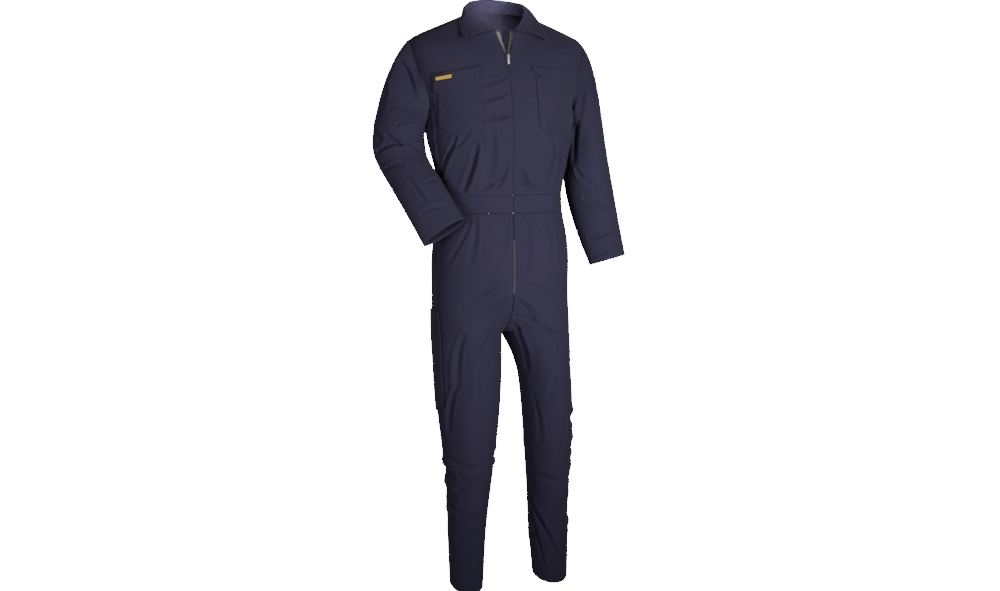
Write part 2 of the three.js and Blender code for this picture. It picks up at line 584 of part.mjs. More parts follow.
function addSleeve(name, side, table, folds, capReach) {
  const count = SLEEVE_ROUND;
  const hole = new THREE.Vector3(side * CAP.armhole_x, 0, CAP.armhole_z);
  const seam = armholeLine(side, count);
  const outer = [];
  for (const t of CAP.steps) {
    outer.push(steps(0, 1, count).slice(0, -1).map((s, i) => {
      const up = (1 - Math.cos(2 * Math.PI * s)) / 2;
      const sideways = CAP.side_low + CAP.side_more * up;
      const away = new THREE.Vector3(side * sideways, 0, CAP.down_less * up - CAP.down_low).normalize();
      const end = sleeveTube(side, table, s, CAP.part);
      const after = sleeveTube(side, table, s, CAP.part + 0.02).sub(end).normalize();
      const reach = capReach * lerp(CAP.reach_low, 1, up);
      const inward = hole.clone().sub(seam[i]).setLength(Math.abs(Math.sin(2 * Math.PI * s)));
      const off = inward.add(new THREE.Vector3(side * ARMHOLE.sideways, 0, 0)).setLength(SEAM + ARMHOLE.ease);
      const first = seam[i].clone().add(off);
      const [h0, h1] = [2 * t ** 3 - 3 * t ** 2 + 1, t ** 3 - 2 * t ** 2 + t];
      const [h2, h3] = [3 * t ** 2 - 2 * t ** 3, t ** 3 - t ** 2];
      return first.multiplyScalar(h0).addScaledVector(away, h1 * reach)
        .addScaledVector(end, h2).addScaledVector(after, h3 * reach);
    }));
  }
  for (const part of steps(CAP.part, 1, FOREARM_STEPS)) {
    outer.push(steps(0, 1, count).slice(0, -1).map((s) => sleeveTube(side, table, s, part)));
  }
  const centres = outer.map((row) =>
    row.reduce((sum, p) => sum.add(p), new THREE.Vector3()).divideScalar(count));
  // The folds, measured down the sleeve from the armhole and round it from the top of the arm
  let down = 0;
  outer.forEach((row, j) => {
    if (j > 0) down += centres[j].distanceTo(centres[j - 1]);
    row.forEach((p, i) => {
      const round = SLEEVE_GIRTH * (i / count - 0.5);
      const fade = smoothstep(j, 1, 4);
      p.lerp(centres[j], (fade * sink(folds, round, down)) / Math.max(p.distanceTo(centres[j]), 1));
    });
  });
  const inner = outer.map((row, j) => row.map((p, i) => {
    const [before, after] = [outer[Math.max(j - 1, 0)], outer[Math.min(j + 1, outer.length - 1)]];
    const along = row[(i + 1) % count].clone().sub(row[(i + count - 1) % count]);
    const way = after[i].clone().sub(before[i]);
    const out = along.cross(way).normalize();
    if (out.dot(p.clone().sub(centres[j])) < 0) out.negate();
    return p.clone().addScaledVector(out, -CLOTH);
  }));
  // The upper sleeve runs from the underarm seam over the front and the top to the seam behind the elbow.
  const cut = (grid, from, to) => {
    const rows = grid.map((row) => [...row, row[0]].slice(from, to + 1).map((p) => p.clone()));
    trimRows(rows, SEAM / 2);
    return side > 0 ? rows.map((row) => row.reverse()) : rows;
  };
  for (const [piece, from, to] of [["sleeve_", 0, ELBOW_SEAM], ["under_sleeve_", ELBOW_SEAM, count]]) {
    add(piece + name, wallOf(cut(outer, from, to), cut(inner, from, to)));
  }
}

// The collar across from the wearer's right end (-1) to the left end (1), and over from the neck seam (0)
// across the roll to the edge of the fall (1).
function collar(across, over) {
  const part = 1 - Math.abs(across);
  const side = Math.sign(across) || 1;
  const r = between(COLLAR, "part", part);
  const start = openEdge(1);
  const seam = body(180 - across * (180 - start), 1);
  const out = new THREE.Vector3(seam.x - NECK_LEAN, seam.y, 0).normalize();
  const at = (away, up) => seam.clone().addScaledVector(out, away).add(new THREE.Vector3(0, 0, up));
  const edge = new THREE.Vector3(side * r.edge_x, r.edge_y, r.edge_z);
  if (part === 1) edge.x = 0;
  edge.x += NECK_LEAN;
  const tilt = COLLAR_TILT * r.rise;
  const foldUp = at(tilt + 2 * ROLL, r.rise - ROLL);
  const bulge = foldUp.clone().lerp(edge, 0.5).addScaledVector(out, BULGE.out);
  bulge.z += BULGE.up;
  return new THREE.CatmullRomCurve3([
    at(0, COLLAR_CLEAR), at(tilt * 0.5, r.rise * 0.5), at(tilt, r.rise - ROLL),
    at(tilt + ROLL, r.rise), foldUp, bulge, edge,
  ]).getPoint(clamp(over, 0, 1));
}

function addCollar() {
  const overs = [0, 0.14, 0.28, 0.38, 0.46, 0.5, 0.54, 0.62, 0.74, 0.87, 1];
  add("collar", sheet({ at: collar, ups: overs, from: () => -1, to: () => 1, across: 26, trim: 0 }));
}

// A patch on the front between two places across, with its own lower and upper edge for each place across.
function frontPatch({ inner, outer, lower, upper, across, rise, lift, wall, side }) {
  const at = (u, v) => onFront(u, lerp(lower(Math.abs(u)), upper(Math.abs(u)), v));
  const [from, to] = side > 0 ? [inner, outer] : [-outer, -inner];
  return sheet({
    at, ups: steps(0, 1, rise), from: () => from, to: () => to, across,
    lift: lift + wall, wall, step: 0.02, trim: 0,
  });
}

const flapTop = (flap, x) => flap.top - flap.top_slope * (x - flap.inner);

function flapFoot(flap, x) {
  const share = clamp((x - flap.inner) / (flap.outer - flap.inner), 0, 1);
  return flapTop(flap, x) - between(flap.depths, "share", share).depth;
}

function pocketFoot(pocket, x) {
  const near = Math.min(x - pocket.inner, pocket.outer - x);
  return pocket.foot + Math.max(POCKET.corner - near, 0);
}

function addChestPockets() {
  for (const [name, side] of [["right", -1], ["left", 1]]) {
    const [pocket, flap] = [POCKETS[name], FLAPS[name]];
    add("chest_pocket_" + name, frontPatch({
      ...POCKET, ...pocket, side, lower: (x) => pocketFoot(pocket, x), upper: () => pocket.top,
    }));
    add("pocket_flap_" + name, frontPatch({
      ...FLAP, ...flap, side, lower: (x) => flapFoot(flap, x), upper: (x) => flapTop(flap, x),
    }));
  }
  const labelTop = (x) => flapTop(FLAPS.right, x) - LABEL.below;
  add("label", frontPatch({
    ...LABEL, side: -1, lower: (x) => labelTop(x) - LABEL.tall, upper: labelTop,
    lift: FLAP.lift + FLAP.wall + LAY,
  }), YELLOW);
}

function addToolPocket() {
  const half = FOLD_SCALE;
  add("tool_pocket", sheet({
    at: legs.right.at,
    ups: steps(TOOL_POCKET.foot, TOOL_POCKET.top, 7),
    from: () => -1 - TOOL_POCKET.behind / half,
    to: () => -1 + TOOL_POCKET.ahead / half,
    across: 6,
    wall: TOOL_POCKET.wall,
    lift: TOOL_POCKET.lay + TOOL_POCKET.wall,
    trim: 0,
  }));
}

// The depth of the centre front at a height, from the rows of the body and the hips.
const FRONT_LINE = [
  ...HIP_RINGS.map(({ z, deep_front }) => ({ z, deep_front })),
  ...BODY_RINGS.slice(1).map(({ front, deep_front }) => ({ z: front, deep_front })),
];

// The closed zip runs behind the centre front: a place across and a height.
function centreFront(x, z) {
  const y = z > WAIST_FOOT_Z ? -between(FRONT_LINE, "z", z).deep_front : legs.left.at(0, z).y;
  return new THREE.Vector3(x + lean(z), y, z);
}

function addZip() {
  add("zip_chain", sheet({
    at: centreFront,
    ups: steps(ZIP_FOOT_Z, SLIDER_Z - SLIDER.tall / 2 - SEAM, 24),
    from: () => -CHAIN.half,
    to: () => CHAIN.half,
    across: 2,
    wall: CHAIN.wall,
    lift: (x, z) => -(CLOTH + chainBehind(z)),
    trim: 0,
    step: 0.5,
  }), BRASS, 1);
  for (const [name, side] of [["right", -1], ["left", 1]]) {
    const angleAt = (x, ring) => {
      const r = between(BODY_RINGS, "ring", ring);
      return (Math.asin(x / r.wide) * 180) / Math.PI;
    };
    const shownEnd = (ring) => side * angleAt(openHalf(ring) - (TAPE.shown * openHalf(ring)) / V_HALF, ring);
    const hiddenEnd = (ring) => side * angleAt(openHalf(ring) + TAPE.under, ring);
    const [from, to] = side > 0 ? [shownEnd, hiddenEnd] : [hiddenEnd, shownEnd];
    add("zip_tape_" + name, sheet({
      at: body, ups: TAPE_UPS, from, to, across: 3, wall: TAPE.wall, lift: -(CLOTH + TAPE.behind),
    }), TAPE_GREY);
  }
}

// How far the zip lies behind the cloth at a height: closer where the waistband carries it.
function chainBehind(z) {
  const over = smoothstep(z, WAIST_FOOT_Z - CHAIN.ease, WAIST_FOOT_Z);
  const under = 1 - smoothstep(z, WAIST_TOP_Z, WAIST_TOP_Z + CHAIN.ease);
  return lerp(CHAIN.behind, CHAIN.behind_band, over * under);
}

// Closed shapes joined, less other closed shapes.
function joined(shapes, cuts = []) {
  const solid = (geometry) => {
    const loose = geometry.index ? geometry.toNonIndexed() : geometry;
    const bare = new THREE.BufferGeometry().setAttribute("position", loose.attributes.position);
    const merged = mergeVertices(bare, 1e-4);
    return new solids.Manifold(new solids.Mesh({
      numProp: 3,
      vertProperties: merged.attributes.position.array,
      triVerts: new Uint32Array(merged.index.array),
    }));
  };
  let whole = shapes.map(solid).reduce((a, b) => a.add(b));
  for (const cut of cuts) whole = whole.subtract(solid(cut));
  const mesh = whole.getMesh();
  const geometry = new THREE.BufferGeometry();
  geometry.setAttribute("position", new THREE.Float32BufferAttribute(mesh.vertProperties, 3));
  geometry.setIndex([...mesh.triVerts]);
  return geometry;
}

// A box between two corners.
function block(x0, y0, z0, x1, y1, z1) {
  const box = new THREE.BoxGeometry(x1 - x0, y1 - y0, z1 - z0);
  return box.translate((x0 + x1) / 2, (y0 + y1) / 2, (z0 + z1) / 2);
}

// A rod along X, long from its middle to each end.
const rod = (radius, half, y, z, sides) =>
  new THREE.CylinderGeometry(radius, radius, 2 * half, sides).rotateZ(Math.PI / 2).translate(0, y, z);

function addSlider() {
  const { half, tall, deep, back_y } = SLIDER;
  const [top, foot] = [SLIDER_Z + tall / 2, SLIDER_Z - tall / 2];
  const hingeY = back_y - deep - BAIL.out;
  const front = back_y - deep;
  const cheeks = [-1, 1].flatMap((side) => {
    const [a, b] = [side * BAIL.inner, side * BAIL.outer].sort((p, q) => p - q);
    return [block(a, hingeY, BAIL.z - BAIL.cheek, b, front + BAIL.joined, BAIL.z + BAIL.cheek)];
  });
  const plate = block(-half, front, foot, half, back_y, top);
  const bar = rod(BAIL.bar, BAIL.outer - BAIL.sunk, hingeY, BAIL.z, 12);
  add("zip_slider", joined([plate, ...cheeks, bar]).translate(lean(SLIDER_Z), 0, 0), STEEL, 1);
  const eye = rod(TAB.eye, TAB.neck, hingeY, BAIL.z, 20);
  const [near, far] = [hingeY - TAB.wall / 2, hingeY + TAB.wall / 2];
  const shoulder = BAIL.z - TAB.shoulder;
  const neck = block(-TAB.neck, near, shoulder - BAIL.joined, TAB.neck, far, BAIL.z);
  const tab = block(-TAB.half, near, TAB.foot, TAB.half, far, shoulder);
  const hole = rod(TAB.hole, TAB.neck + 1, hingeY, BAIL.z, 20);
  add("zip_pull", joined([eye, neck, tab], [hole]).translate(lean(SLIDER_Z), 0, 0), STEEL, 1);
}

addUpperBody();
addTrousers();
addWaistband();
addCollar();
addChestPockets();
addToolPocket();
addZip();
addSlider();
addSleeve("right", -1, SLEEVE_RIGHT, SLEEVE_RIGHT_FOLDS, CAP_REACH.right);
addSleeve("left", 1, SLEEVE_LEFT, SLEEVE_LEFT_FOLDS, CAP_REACH.left);

export default suit;
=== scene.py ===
"""A boiler suit in its worn form with nobody in it: navy twill with creases, stitching and a zip.

The cloth pieces are subdivided copies of the frame's own panels, with creases pressed into them.
"""

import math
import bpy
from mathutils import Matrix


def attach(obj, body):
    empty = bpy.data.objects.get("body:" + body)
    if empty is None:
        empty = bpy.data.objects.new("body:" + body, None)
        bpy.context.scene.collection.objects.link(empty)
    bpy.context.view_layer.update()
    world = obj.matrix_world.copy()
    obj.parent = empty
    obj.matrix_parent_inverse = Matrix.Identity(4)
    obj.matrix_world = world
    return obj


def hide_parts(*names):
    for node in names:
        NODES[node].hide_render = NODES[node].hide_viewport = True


bl_info = {
    "name": "Boiler suit",
    "version": (1, 0, 0),
    "blender": (4, 5, 0),
    "location": "3D View > Sidebar > Suit",
    "description": "Dresses the packed boiler suit in twill, stitching and a zip",
    "category": "Object",
}

from collections import namedtuple

import bmesh
import bpy
import numpy as np
from mathutils import Vector
from mathutils.bvhtree import BVHTree
from mathutils.kdtree import KDTree

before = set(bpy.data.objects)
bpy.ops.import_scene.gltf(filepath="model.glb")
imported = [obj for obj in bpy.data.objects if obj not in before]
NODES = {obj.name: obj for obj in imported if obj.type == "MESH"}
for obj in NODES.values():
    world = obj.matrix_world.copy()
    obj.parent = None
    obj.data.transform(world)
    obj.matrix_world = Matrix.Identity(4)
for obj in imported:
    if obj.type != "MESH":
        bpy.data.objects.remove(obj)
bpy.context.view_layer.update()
MM = 0.001
GARMENT = "garment"
PULL = "pull_tab"

# A crease is a soft trough with a low ridge on each side, between two places on the cloth.
# Angles are in degrees round the middle of the trunk, leg or arm, from its front towards the wearer's left
# on the trunk and towards the outside on a limb. Heights, and the way down a sleeve, are in millimetres.
Crease = namedtuple("Crease", "from_angle from_height to_angle to_height width depth")

TRUNK_CREASES = [
    Crease(-4, -168, -24, -190, 6, 2.4),
    Crease(-6, -213, -23, -229, 6.8, 3),
    Crease(-3, -270, -22, -278, 6.8, 2.6),
    Crease(3, -220, 15, -236, 6, 1.6),
    Crease(-46, -330, -70, -420, 7.6, 4.5),
    Crease(-29, -348, -43, -466, 8.5, 5),
    Crease(-33, -309, -51, -361, 6.8, 2.6),
    Crease(-5, -403, -14, -461, 5.1, 3.6),
    Crease(-9, -430, -26, -463, 6, 2.6),
    Crease(4, -409, 13, -457, 5.1, 3.8),
    Crease(4, -446, 24, -468, 5.1, 2.6),
    Crease(36, -336, 33, -458, 7.6, 4),
    Crease(47, -362, 45, -464, 6.8, 3.6),
    Crease(-76, -251, -77, -320, 6, 5),
    Crease(-77, -320, -81, -402, 6.8, 5),
    Crease(25, -262, 33, -335, 6.8, 2.6),
    Crease(-17, -309, -23, -456, 10.2, 2.6),
    Crease(66, -214, 62, -300, 7.6, 5.5),
    Crease(70, -250, 68, -392, 8.5, 4),
    Crease(58, -262, 72, -330, 6, 3),
    Crease(112, -268, 128, -400, 10.2, 5),
    Crease(136, -474, 156, -360, 10.2, 4.5),
    Crease(170, -474, 150, -410, 7.6, 3.5),
    Crease(196, -474, 214, -390, 8.5, 4),
    Crease(226, -474, 206, -350, 10.2, 4.5),
    Crease(248, -262, 232, -410, 10.2, 5),
    Crease(160, -120, 200, -128, 10.2, 2.5),
]
HIP_CREASES = [
    Crease(8, -531, 11, -602, 12.8, 3.1),
    Crease(11, -602, 6, -692, 12.8, 3.1),
    Crease(-5, -535, -13, -656, 7.2, 1.9),
    Crease(-31, -534, -34, -655, 8, 1.9),
    Crease(-35, -546, -54, -657, 7.2, 1.6),
    Crease(31, -538, 32, -661, 8, 1.9),
    Crease(4, -761, 19, -811, 9, 4),
    Crease(-7, -760, -28, -788, 9, 3.6),
    Crease(-11, -704, -34, -756, 9, 2.6),
    Crease(8, -717, 28, -753, 9, 2.6),
    Crease(62, -560, 74, -690, 8, 1.9),
    Crease(130, -690, 168, -760, 12, 4),
    Crease(230, -690, 192, -760, 12, 4),
    Crease(150, -540, 140, -620, 10, 2.5),
    Crease(210, -540, 222, -620, 10, 2.5),
]
RIGHT_LEG_CREASES = [
    Crease(56, -1246, 120, -1236, 15, 6),
    Crease(52, -1304, 118, -1292, 13, 4),
    Crease(60, -1360, 116, -1372, 15, 4),
    Crease(-60, -1196, -112, -1180, 14, 5),
    Crease(23, -850, 36, -987, 8.8, 3.7),
    Crease(36, -987, 58, -1114, 8.8, 3.1),
    Crease(-37, -805, -6, -897, 7.2, 2.5),
    Crease(-19, -839, 0, -1027, 8, 1.9),
    Crease(74, -1188, -12, -1223, 9, 3.6),
    Crease(-25, -1248, 48, -1287, 9, 4.6),
    Crease(75, -1329, -18, -1366, 8, 4),
    Crease(-25, -1390, 51, -1422, 8, 3.6),
    Crease(68, -1460, -15, -1478, 7, 3),
    Crease(150, -800, 190, -860, 12, 5),
    Crease(140, -1150, 220, -1178, 11, 4.5),
    Crease(150, -1206, 215, -1190, 10, 4),
    Crease(140, -1330, 210, -1380, 10, 3.5),
]
LEFT_LEG_CREASES = [
    Crease(40, -1100, 112, -1116, 16, 4),
    Crease(50, -1176, 116, -1190, 16, 6),
    Crease(56, -1266, 112, -1252, 15, 4),
    Crease(60, -1340, 112, -1328, 15, 4),
    Crease(60, -1420, 112, -1408, 14, 4),
    Crease(-60, -1430, -110, -1420, 13, 4),
    Crease(-54, -826, -51, -955, 8.8, 3.7),
    Crease(-45, -805, -27, -817, 7, 3.6),
    Crease(-11, -841, 2, -864, 8, 3.6),
    Crease(12, -874, -14, -1038, 8, 2.2),
    Crease(-40, -1031, -34, -1153, 8.8, 1.9),
    Crease(17, -1097, -11, -1238, 8, 2.2),
    Crease(-86, -1250, 8, -1274, 9, 4),
    Crease(-92, -1314, 0, -1474, 9, 5.5),
    Crease(-79, -1368, -36, -1498, 8, 4),
    Crease(24, -1329, -20, -1382, 8, 3.4),
    Crease(-62, -1502, 20, -1529, 7, 3),
    Crease(70, -830, 40, -930, 8, 1.9),
    Crease(60, -1080, 84, -1190, 8.8, 2.8),
    Crease(70, -1210, 0, -1238, 9, 3.4),
    Crease(60, -1290, 10, -1340, 9, 3.2),
    Crease(66, -1390, 24, -1430, 8, 2.8),
    Crease(150, -800, 190, -860, 12, 5),
    Crease(140, -1150, 220, -1178, 11, 4.5),
    Crease(150, -1206, 215, -1190, 10, 4),
    Crease(140, -1340, 210, -1370, 10, 3.5),
]
RIGHT_SLEEVE_CREASES = [
    Crease(71, 30, -1, 91, 6.8, 5),
    Crease(60, 11, 1, 57, 6.8, 4),
    Crease(47, 139, -22, 145, 6, 5),
    Crease(24, 181, -27, 163, 6, 5),
    Crease(45, 210, -36, 276, 6, 5.5),
    Crease(64, 250, -42, 291, 6.8, 7),
    Crease(29, 224, 11, 286, 5.1, 3.6),
    Crease(81, 296, 32, 318, 6, 3.6),
    Crease(4, 396, -67, 395, 5.1, 3.6),
    Crease(41, 351, 27, 434, 6.8, 3),
    Crease(59, 459, -24, 473, 6, 2.8),
    Crease(85, 88, 66, 126, 6.8, 3),
    Crease(100, 190, 60, 226, 7.6, 3.5),
    Crease(150, 120, 190, 220, 9.3, 4),
    Crease(140, 280, 200, 330, 8.5, 3.6),
]
LEFT_SLEEVE_CREASES = [
    Crease(8, 72, -16, 138, 9, 5.0),
    Crease(48, 36, 25, 135, 9, 4.0),
    Crease(-23, 159, -47, 259, 9, 4.0),
    Crease(-44, 287, -10, 344, 8, 3.4),
    Crease(-39, 370, 11, 404, 8, 3.4),
    Crease(-58, 478, 12, 473, 7, 3.6),
    Crease(-64, 529, 9, 517, 7, 3.0),
    Crease(150, 130, 200, 230, 11, 4.0),
    Crease(150, 300, 210, 340, 10, 3.6),
]

# The middle lines of the limbs, in metres, down from the top
RIGHT_LEG_LINE = [(-0.092, -0.004, -0.69), (-0.096, -0.012, -0.9), (-0.093, -0.012, -1.18), (-0.101, -0.014, -1.58)]
LEFT_LEG_LINE = [(0.092, -0.004, -0.69), (0.117, -0.012, -0.9), (0.136, -0.012, -1.18), (0.141, -0.014, -1.58)]
RIGHT_ARM_LINE = [
    (-0.205, 0.004, -0.13), (-0.264, 0.024, -0.24), (-0.279, 0.03, -0.358),
    (-0.23, -0.06, -0.486), (-0.186, -0.134, -0.596),
]
LEFT_ARM_LINE = [
    (0.2, 0.004, -0.13), (0.226, 0.01, -0.25), (0.254, 0.004, -0.44), (0.275, -0.012, -0.556), (0.305, -0.036, -0.69),
]
TRUNK_ROUND = 1.6  # how much wider than deep the trunk is
TRUNK_RADIUS = 165  # mm of cloth to a radian
LEG_RADIUS = 85
ARM_RADIUS = 68
BOW = 0.045  # how far a crease bows out, as a share of its length
NARROW = 0.6  # the width of a crease at its start, as a share of the width at its end
SHARPNESS = 1.5  # how sharp the foot of a crease is: 2 is round
LIPS = (0.66, 0.3)  # the ridges on the two sides of a crease, as shares of its depth


class SuitCloth(bpy.types.PropertyGroup):
    navy: bpy.props.FloatVectorProperty(
        name="Navy", description="Colour of the twill", subtype="COLOR", default=(0.036, 0.028, 0.064)
    )
    thread: bpy.props.FloatVectorProperty(
        name="Thread", description="Colour of the sewing thread", subtype="COLOR", default=(0.05, 0.047, 0.085)
    )
    label: bpy.props.FloatVectorProperty(
        name="Label", description="Colour of the woven label", subtype="COLOR", default=(0.85, 0.55, 0.07)
    )
    crease_scale: bpy.props.FloatProperty(
        name="Creases", description="How deep the creases are pressed", default=1.8, min=0.0,
        max=2.0, subtype="FACTOR",
    )


class SuitSewing(bpy.types.PropertyGroup):
    pitch: bpy.props.FloatProperty(
        name="Pitch", description="From one stitch to the next", unit="LENGTH", default=3.6 * MM
    )
    length: bpy.props.FloatProperty(
        name="Length", description="Length of a stitch that shows", unit="LENGTH", default=2.7 * MM
    )
    width: bpy.props.FloatProperty(
        name="Width", description="Width of the thread", unit="LENGTH", default=0.7 * MM
    )


class SuitStage(bpy.types.PropertyGroup):
    floor_z: bpy.props.FloatProperty(
        name="Floor", description="Height of the floor under the suit", unit="LENGTH", default=-1.62
    )
    azimuth: bpy.props.FloatProperty(
        name="Azimuth", description="Way round to the camera from the front", subtype="ANGLE",
        default=math.radians(-17.5),
    )
    elevation: bpy.props.FloatProperty(
        name="Elevation", description="How far up the camera is", subtype="ANGLE", default=math.radians(6.4)
    )
    distance: bpy.props.FloatProperty(
        name="Distance", description="From the suit to the camera", unit="LENGTH", default=4.0
    )
    lens: bpy.props.FloatProperty(name="Lens", description="Focal length", unit="CAMERA", default=52.5)
    backdrop: bpy.props.FloatProperty(
        name="Backdrop", description="Brightness of the backdrop to the camera", subtype="UNSIGNED", default=26.0
    )
    ambient: bpy.props.FloatProperty(
        name="Ambient", description="Soft light from all round", subtype="UNSIGNED", default=0.12
    )


# Shader maths


class Wire:
    """A socket that does its sums with Math nodes."""

    def __init__(self, board, socket):
        self.board = board
        self.socket = socket

    def _sum(self, operation, *values):
        return self.board.node("ShaderNodeMath", {"operation": operation}, dict(enumerate(values)))

    def __add__(self, other):
        return self._sum("ADD", self, other)

    __radd__ = __add__

    def __mul__(self, other):
        return self._sum("MULTIPLY", self, other)

    __rmul__ = __mul__

    def __sub__(self, other):
        return self._sum("SUBTRACT", self, other)

    def __rsub__(self, other):
        return self._sum("SUBTRACT", other, self)

    def above(self, edge):
        return self._sum("GREATER_THAN", self, edge)

    def beside(self, output):
        """Another output of the same node."""
        return Wire(self.board, self.socket.node.outputs[output])


class Board:
    """The node tree of a material or of the world."""

    def __init__(self, owner):
        self.owner = owner
        owner.use_nodes = True
        self.tree = owner.node_tree

    def node(self, kind, settings, sockets, output=0):
        made = self.tree.nodes.new(kind)
        for key, value in settings.items():
            setattr(made, key, value)
        for key, value in sockets.items():
            self.feed(made.inputs[key], value)
        return Wire(self, made.outputs[output])

    def feed(self, socket, value):
        if isinstance(value, Wire):
            self.tree.links.new(value.socket, socket)
        else:
            socket.default_value = value

    def surface(self, **values):
        finish = self.tree.nodes["Principled BSDF"]
        for key, value in values.items():
            self.feed(finish.inputs[key.replace("_", " ")], value)

    def made(self, node, output=0):
        """The output of a node that the tree came with."""
        return Wire(self, self.tree.nodes[node].outputs[output])

    def object_place(self):
        return self.node("ShaderNodeTexCoord", {}, {}, "Object")

    def mix(self, share, first, second):
        return self.node(
            "ShaderNodeMix", {"data_type": "RGBA"}, {0: share, 6: first, 7: second}, 2
        )


WHITE = (1, 1, 1, 1)


def rgba(colour, scale=1.0):
    return (*[c * scale for c in colour], 1.0)


def twill_material(name, colour, crumple=0.22):
    """Matt twill: a fine diagonal rib, a slight unevenness in the dye and small crumples."""
    board = Board(bpy.data.materials.new(name))
    place = board.object_place()
    cloudy = board.node(
        "ShaderNodeTexNoise", {}, {"Vector": place, "Scale": 7.0, "Detail": 4.0, "Roughness": 0.6}
    )
    speckle = board.node(
        "ShaderNodeTexNoise", {}, {"Vector": place, "Scale": 420.0, "Detail": 2.0, "Roughness": 0.7}
    )
    shade = board.mix(cloudy, rgba(colour, 0.84), rgba(colour, 1.16))
    shade = board.mix(speckle * 0.3, shade, rgba(colour, 1.35))
    rib = board.node(
        "ShaderNodeTexWave",
        {"wave_type": "BANDS", "bands_direction": "DIAGONAL"},
        {"Vector": place, "Scale": 260.0, "Distortion": 1.2, "Detail": 1.0},
        1,
    )
    crumples = board.node(
        "ShaderNodeTexNoise", {}, {"Vector": place, "Scale": 26.0, "Detail": 3.0, "Roughness": 0.55, "Distortion": 0.8}
    )
    fine = board.node(
        "ShaderNodeBump", {}, {"Strength": 0.18, "Distance": 0.0004, "Height": rib + speckle * 0.8}
    )
    soft = board.node(
        "ShaderNodeBump", {}, {"Strength": crumple, "Distance": 0.006, "Height": crumples, "Normal": fine}
    )
    board.surface(Base_Color=shade, Roughness=0.86, Normal=soft)
    board.surface(Sheen_Weight=0.08, Sheen_Roughness=0.5, Specular_IOR_Level=0.3)
    return board.owner


def plain_material(name, colour, roughness=0.6, metallic=0.0):
    board = Board(bpy.data.materials.new(name))
    board.surface(Base_Color=rgba(colour), Roughness=roughness, Metallic=metallic)
    return board.owner


def label_material(name, colour):
    """A bare woven label with a dark border, on its own UV map."""
    board = Board(bpy.data.materials.new(name))
    place = board.node("ShaderNodeUVMap", {"uv_map": "label"}, {})
    along = board.node("ShaderNodeSeparateXYZ", {}, {0: place})
    up = along.beside(1)
    inside = along.above(0.05) * (1 - along.above(0.95)) * up.above(0.2) * (1 - up.above(0.8))
    weave = board.node("ShaderNodeTexNoise", {}, {"Vector": board.object_place(), "Scale": 900.0})
    ground = board.mix(weave * 0.4, rgba(colour), rgba(colour, 0.55))
    board.surface(Base_Color=board.mix(inside, (0.04, 0.025, 0.012, 1), ground), Roughness=0.7)
    return board.owner


def white_to_camera(name):
    """A pale floor that the camera sees as bright as the backdrop."""
    board = Board(bpy.data.materials.new(name))
    board.surface(Base_Color=(0.85, 0.85, 0.85, 1), Roughness=0.9)
    glow = board.node(
        "ShaderNodeEmission", {}, {"Strength": bpy.context.scene.suit_stage.backdrop}
    )
    seen = board.node("ShaderNodeLightPath", {}, {})
    mixed = board.node(
        "ShaderNodeMixShader", {}, {0: seen, 1: board.made("Principled BSDF"), 2: glow}
    )
    board.feed(board.tree.nodes["Material Output"].inputs[0], mixed)
    return board.owner


def studio_world(backdrop, ambient):
    """Soft light from all round, with a brighter backdrop to the camera."""
    board = Board(bpy.data.worlds.new("Studio"))
    soft = board.tree.nodes["Background"]
    board.feed(soft.inputs["Color"], WHITE)
    board.feed(soft.inputs["Strength"], ambient)
    bright = board.node("ShaderNodeBackground", {}, {"Color": WHITE, "Strength": backdrop})
    seen = board.node("ShaderNodeLightPath", {}, {})
    mixed = board.node("ShaderNodeMixShader", {}, {0: seen, 1: board.made("Background"), 2: bright})
    board.feed(board.tree.nodes["World Output"].inputs[0], mixed)
    return board.owner


# Cloth


def deselect():
    if bpy.context.object and bpy.context.object.mode != "OBJECT":
        bpy.ops.object.mode_set(mode="OBJECT")
    bpy.ops.object.select_all(action="DESELECT")


def activate(obj):
    deselect()
    obj.select_set(True)
    bpy.context.view_layer.objects.active = obj


def panel_copy(node, name):
    """A welded copy of a panel, with its triangles joined to quads and its rims kept sharp."""
    mesh = NODES[node].data.copy()
    mesh.materials.clear()
    build = bmesh.new()
    build.from_mesh(mesh)
    bmesh.ops.remove_doubles(build, verts=build.verts, dist=0.01 * MM)
    bmesh.ops.join_triangles(
        build, faces=build.faces, angle_face_threshold=math.radians(40), angle_shape_threshold=math.radians(80)
    )
    sharp = build.edges.layers.float.new("crease_edge")
    for edge in build.edges:
        edge[sharp] = 1.0 if edge.calc_face_angle(0) > math.radians(50) else 0.0
    build.to_mesh(mesh)
    build.free()
    mesh.name = name
    obj = bpy.data.objects.new(name, mesh)
    bpy.context.scene.collection.objects.link(obj)
    return obj


def smooth(obj, levels):
    activate(obj)
    modifier = obj.modifiers.new("Subdivision", "SUBSURF")
    modifier.levels = levels
    modifier.render_levels = levels
    bpy.ops.object.modifier_apply(modifier=modifier.name)
    bpy.ops.object.shade_smooth_by_angle(angle=math.radians(50))


def points_of(obj):
    points = np.empty(len(obj.data.vertices) * 3)
    obj.data.vertices.foreach_get("co", points)
    return points.reshape(-1, 3)


def write_points(obj, points):
    obj.data.vertices.foreach_set("co", points.ravel())
    obj.data.update()


def trunk_guide(points):
    """Cloth places on the trunk: mm round from the front, height, and the way out."""
    angle = np.arctan2(points[:, 0], -points[:, 1] * TRUNK_ROUND)
    out = np.stack([points[:, 0], points[:, 1] * TRUNK_ROUND**2, np.zeros(len(points))], 1)
    out /= np.linalg.norm(out, axis=1)[:, None]
    return angle, TRUNK_RADIUS, points[:, 2] / MM, out


